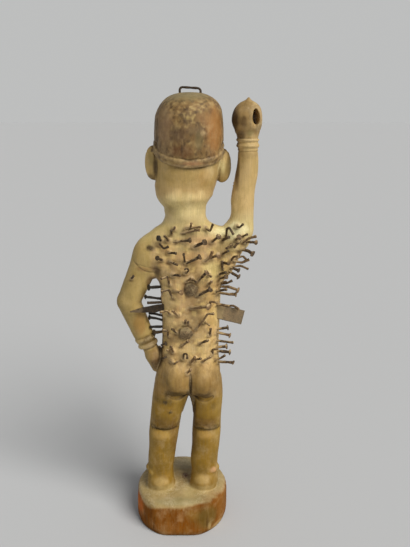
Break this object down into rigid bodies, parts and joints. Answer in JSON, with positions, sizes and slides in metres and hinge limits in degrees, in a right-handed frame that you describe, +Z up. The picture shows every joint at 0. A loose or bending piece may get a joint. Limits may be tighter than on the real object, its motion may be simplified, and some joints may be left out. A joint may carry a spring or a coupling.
{
  "type": "reliquary figure",
  "caption": "Carved wooden standing figure with a raised arm and a hand on the hip, on a round base, its trunk driven full of forged iron nails and blades.",
  "frame": {"origin": "on the flat underside of the round base, near its centre", "axes": "+Z up, the figure faces -Y, its raised right arm is on -X and the hand on the hip on +X"},
  "size_m": [0.27, 0.196, 0.8475],
  "materials": {
    "carved_wood": "carved hardwood under a pale ochre and kaolin patina, handled to a low satin",
    "forged_iron": "hand-forged iron, dark brown rust with tan pigment in the hollows",
    "sheet_iron": "thin beaten iron, dull grey-brown, rust-flecked"
  },
  "bodies": {
    "root": {"figure": "carved_wood", "nail_01": "forged_iron", "nail_02": "forged_iron", "nail_03": "forged_iron", "nail_04": "forged_iron", "nail_05": "forged_iron", "nail_06": "forged_iron", "nail_07": "forged_iron", "nail_08": "forged_iron", "nail_09": "forged_iron", "nail_10": "forged_iron", "nail_11": "forged_iron", "nail_12": "forged_iron", "nail_13": "forged_iron", "nail_14": "forged_iron", "nail_15": "forged_iron", "nail_16": "forged_iron", "nail_17": "forged_iron", "nail_18": "forged_iron", "nail_19": "forged_iron", "nail_20": "forged_iron", "nail_21": "forged_iron", "nail_22": "forged_iron", "nail_23": "forged_iron", "nail_24": "forged_iron", "nail_25": "forged_iron", "nail_26": "forged_iron", "nail_27": "forged_iron", "nail_28": "forged_iron", "nail_29": "forged_iron", "nail_30": "forged_iron", "nail_31": "forged_iron", "nail_32": "forged_iron", "nail_33": "forged_iron", "nail_34": "forged_iron", "nail_35": "forged_iron", "nail_36": "forged_iron", "nail_37": "forged_iron", "nail_38": "forged_iron", "nail_39": "forged_iron", "nail_40": "forged_iron", "nail_41": "forged_iron", "nail_42": "forged_iron", "nail_43": "forged_iron", "nail_44": "forged_iron", "nail_45": "forged_iron", "nail_46": "forged_iron", "nail_47": "forged_iron", "nail_48": "forged_iron", "nail_49": "forged_iron", "nail_50": "forged_iron", "nail_51": "forged_iron", "nail_52": "forged_iron", "nail_53": "forged_iron", "nail_54": "forged_iron", "crown_staple": "forged_iron", "iron_blade": "forged_iron", "iron_plate": "sheet_iron", "disc_nail_upper": "sheet_iron", "disc_nail_lower": "sheet_iron"}
  },
  "joints": []
}
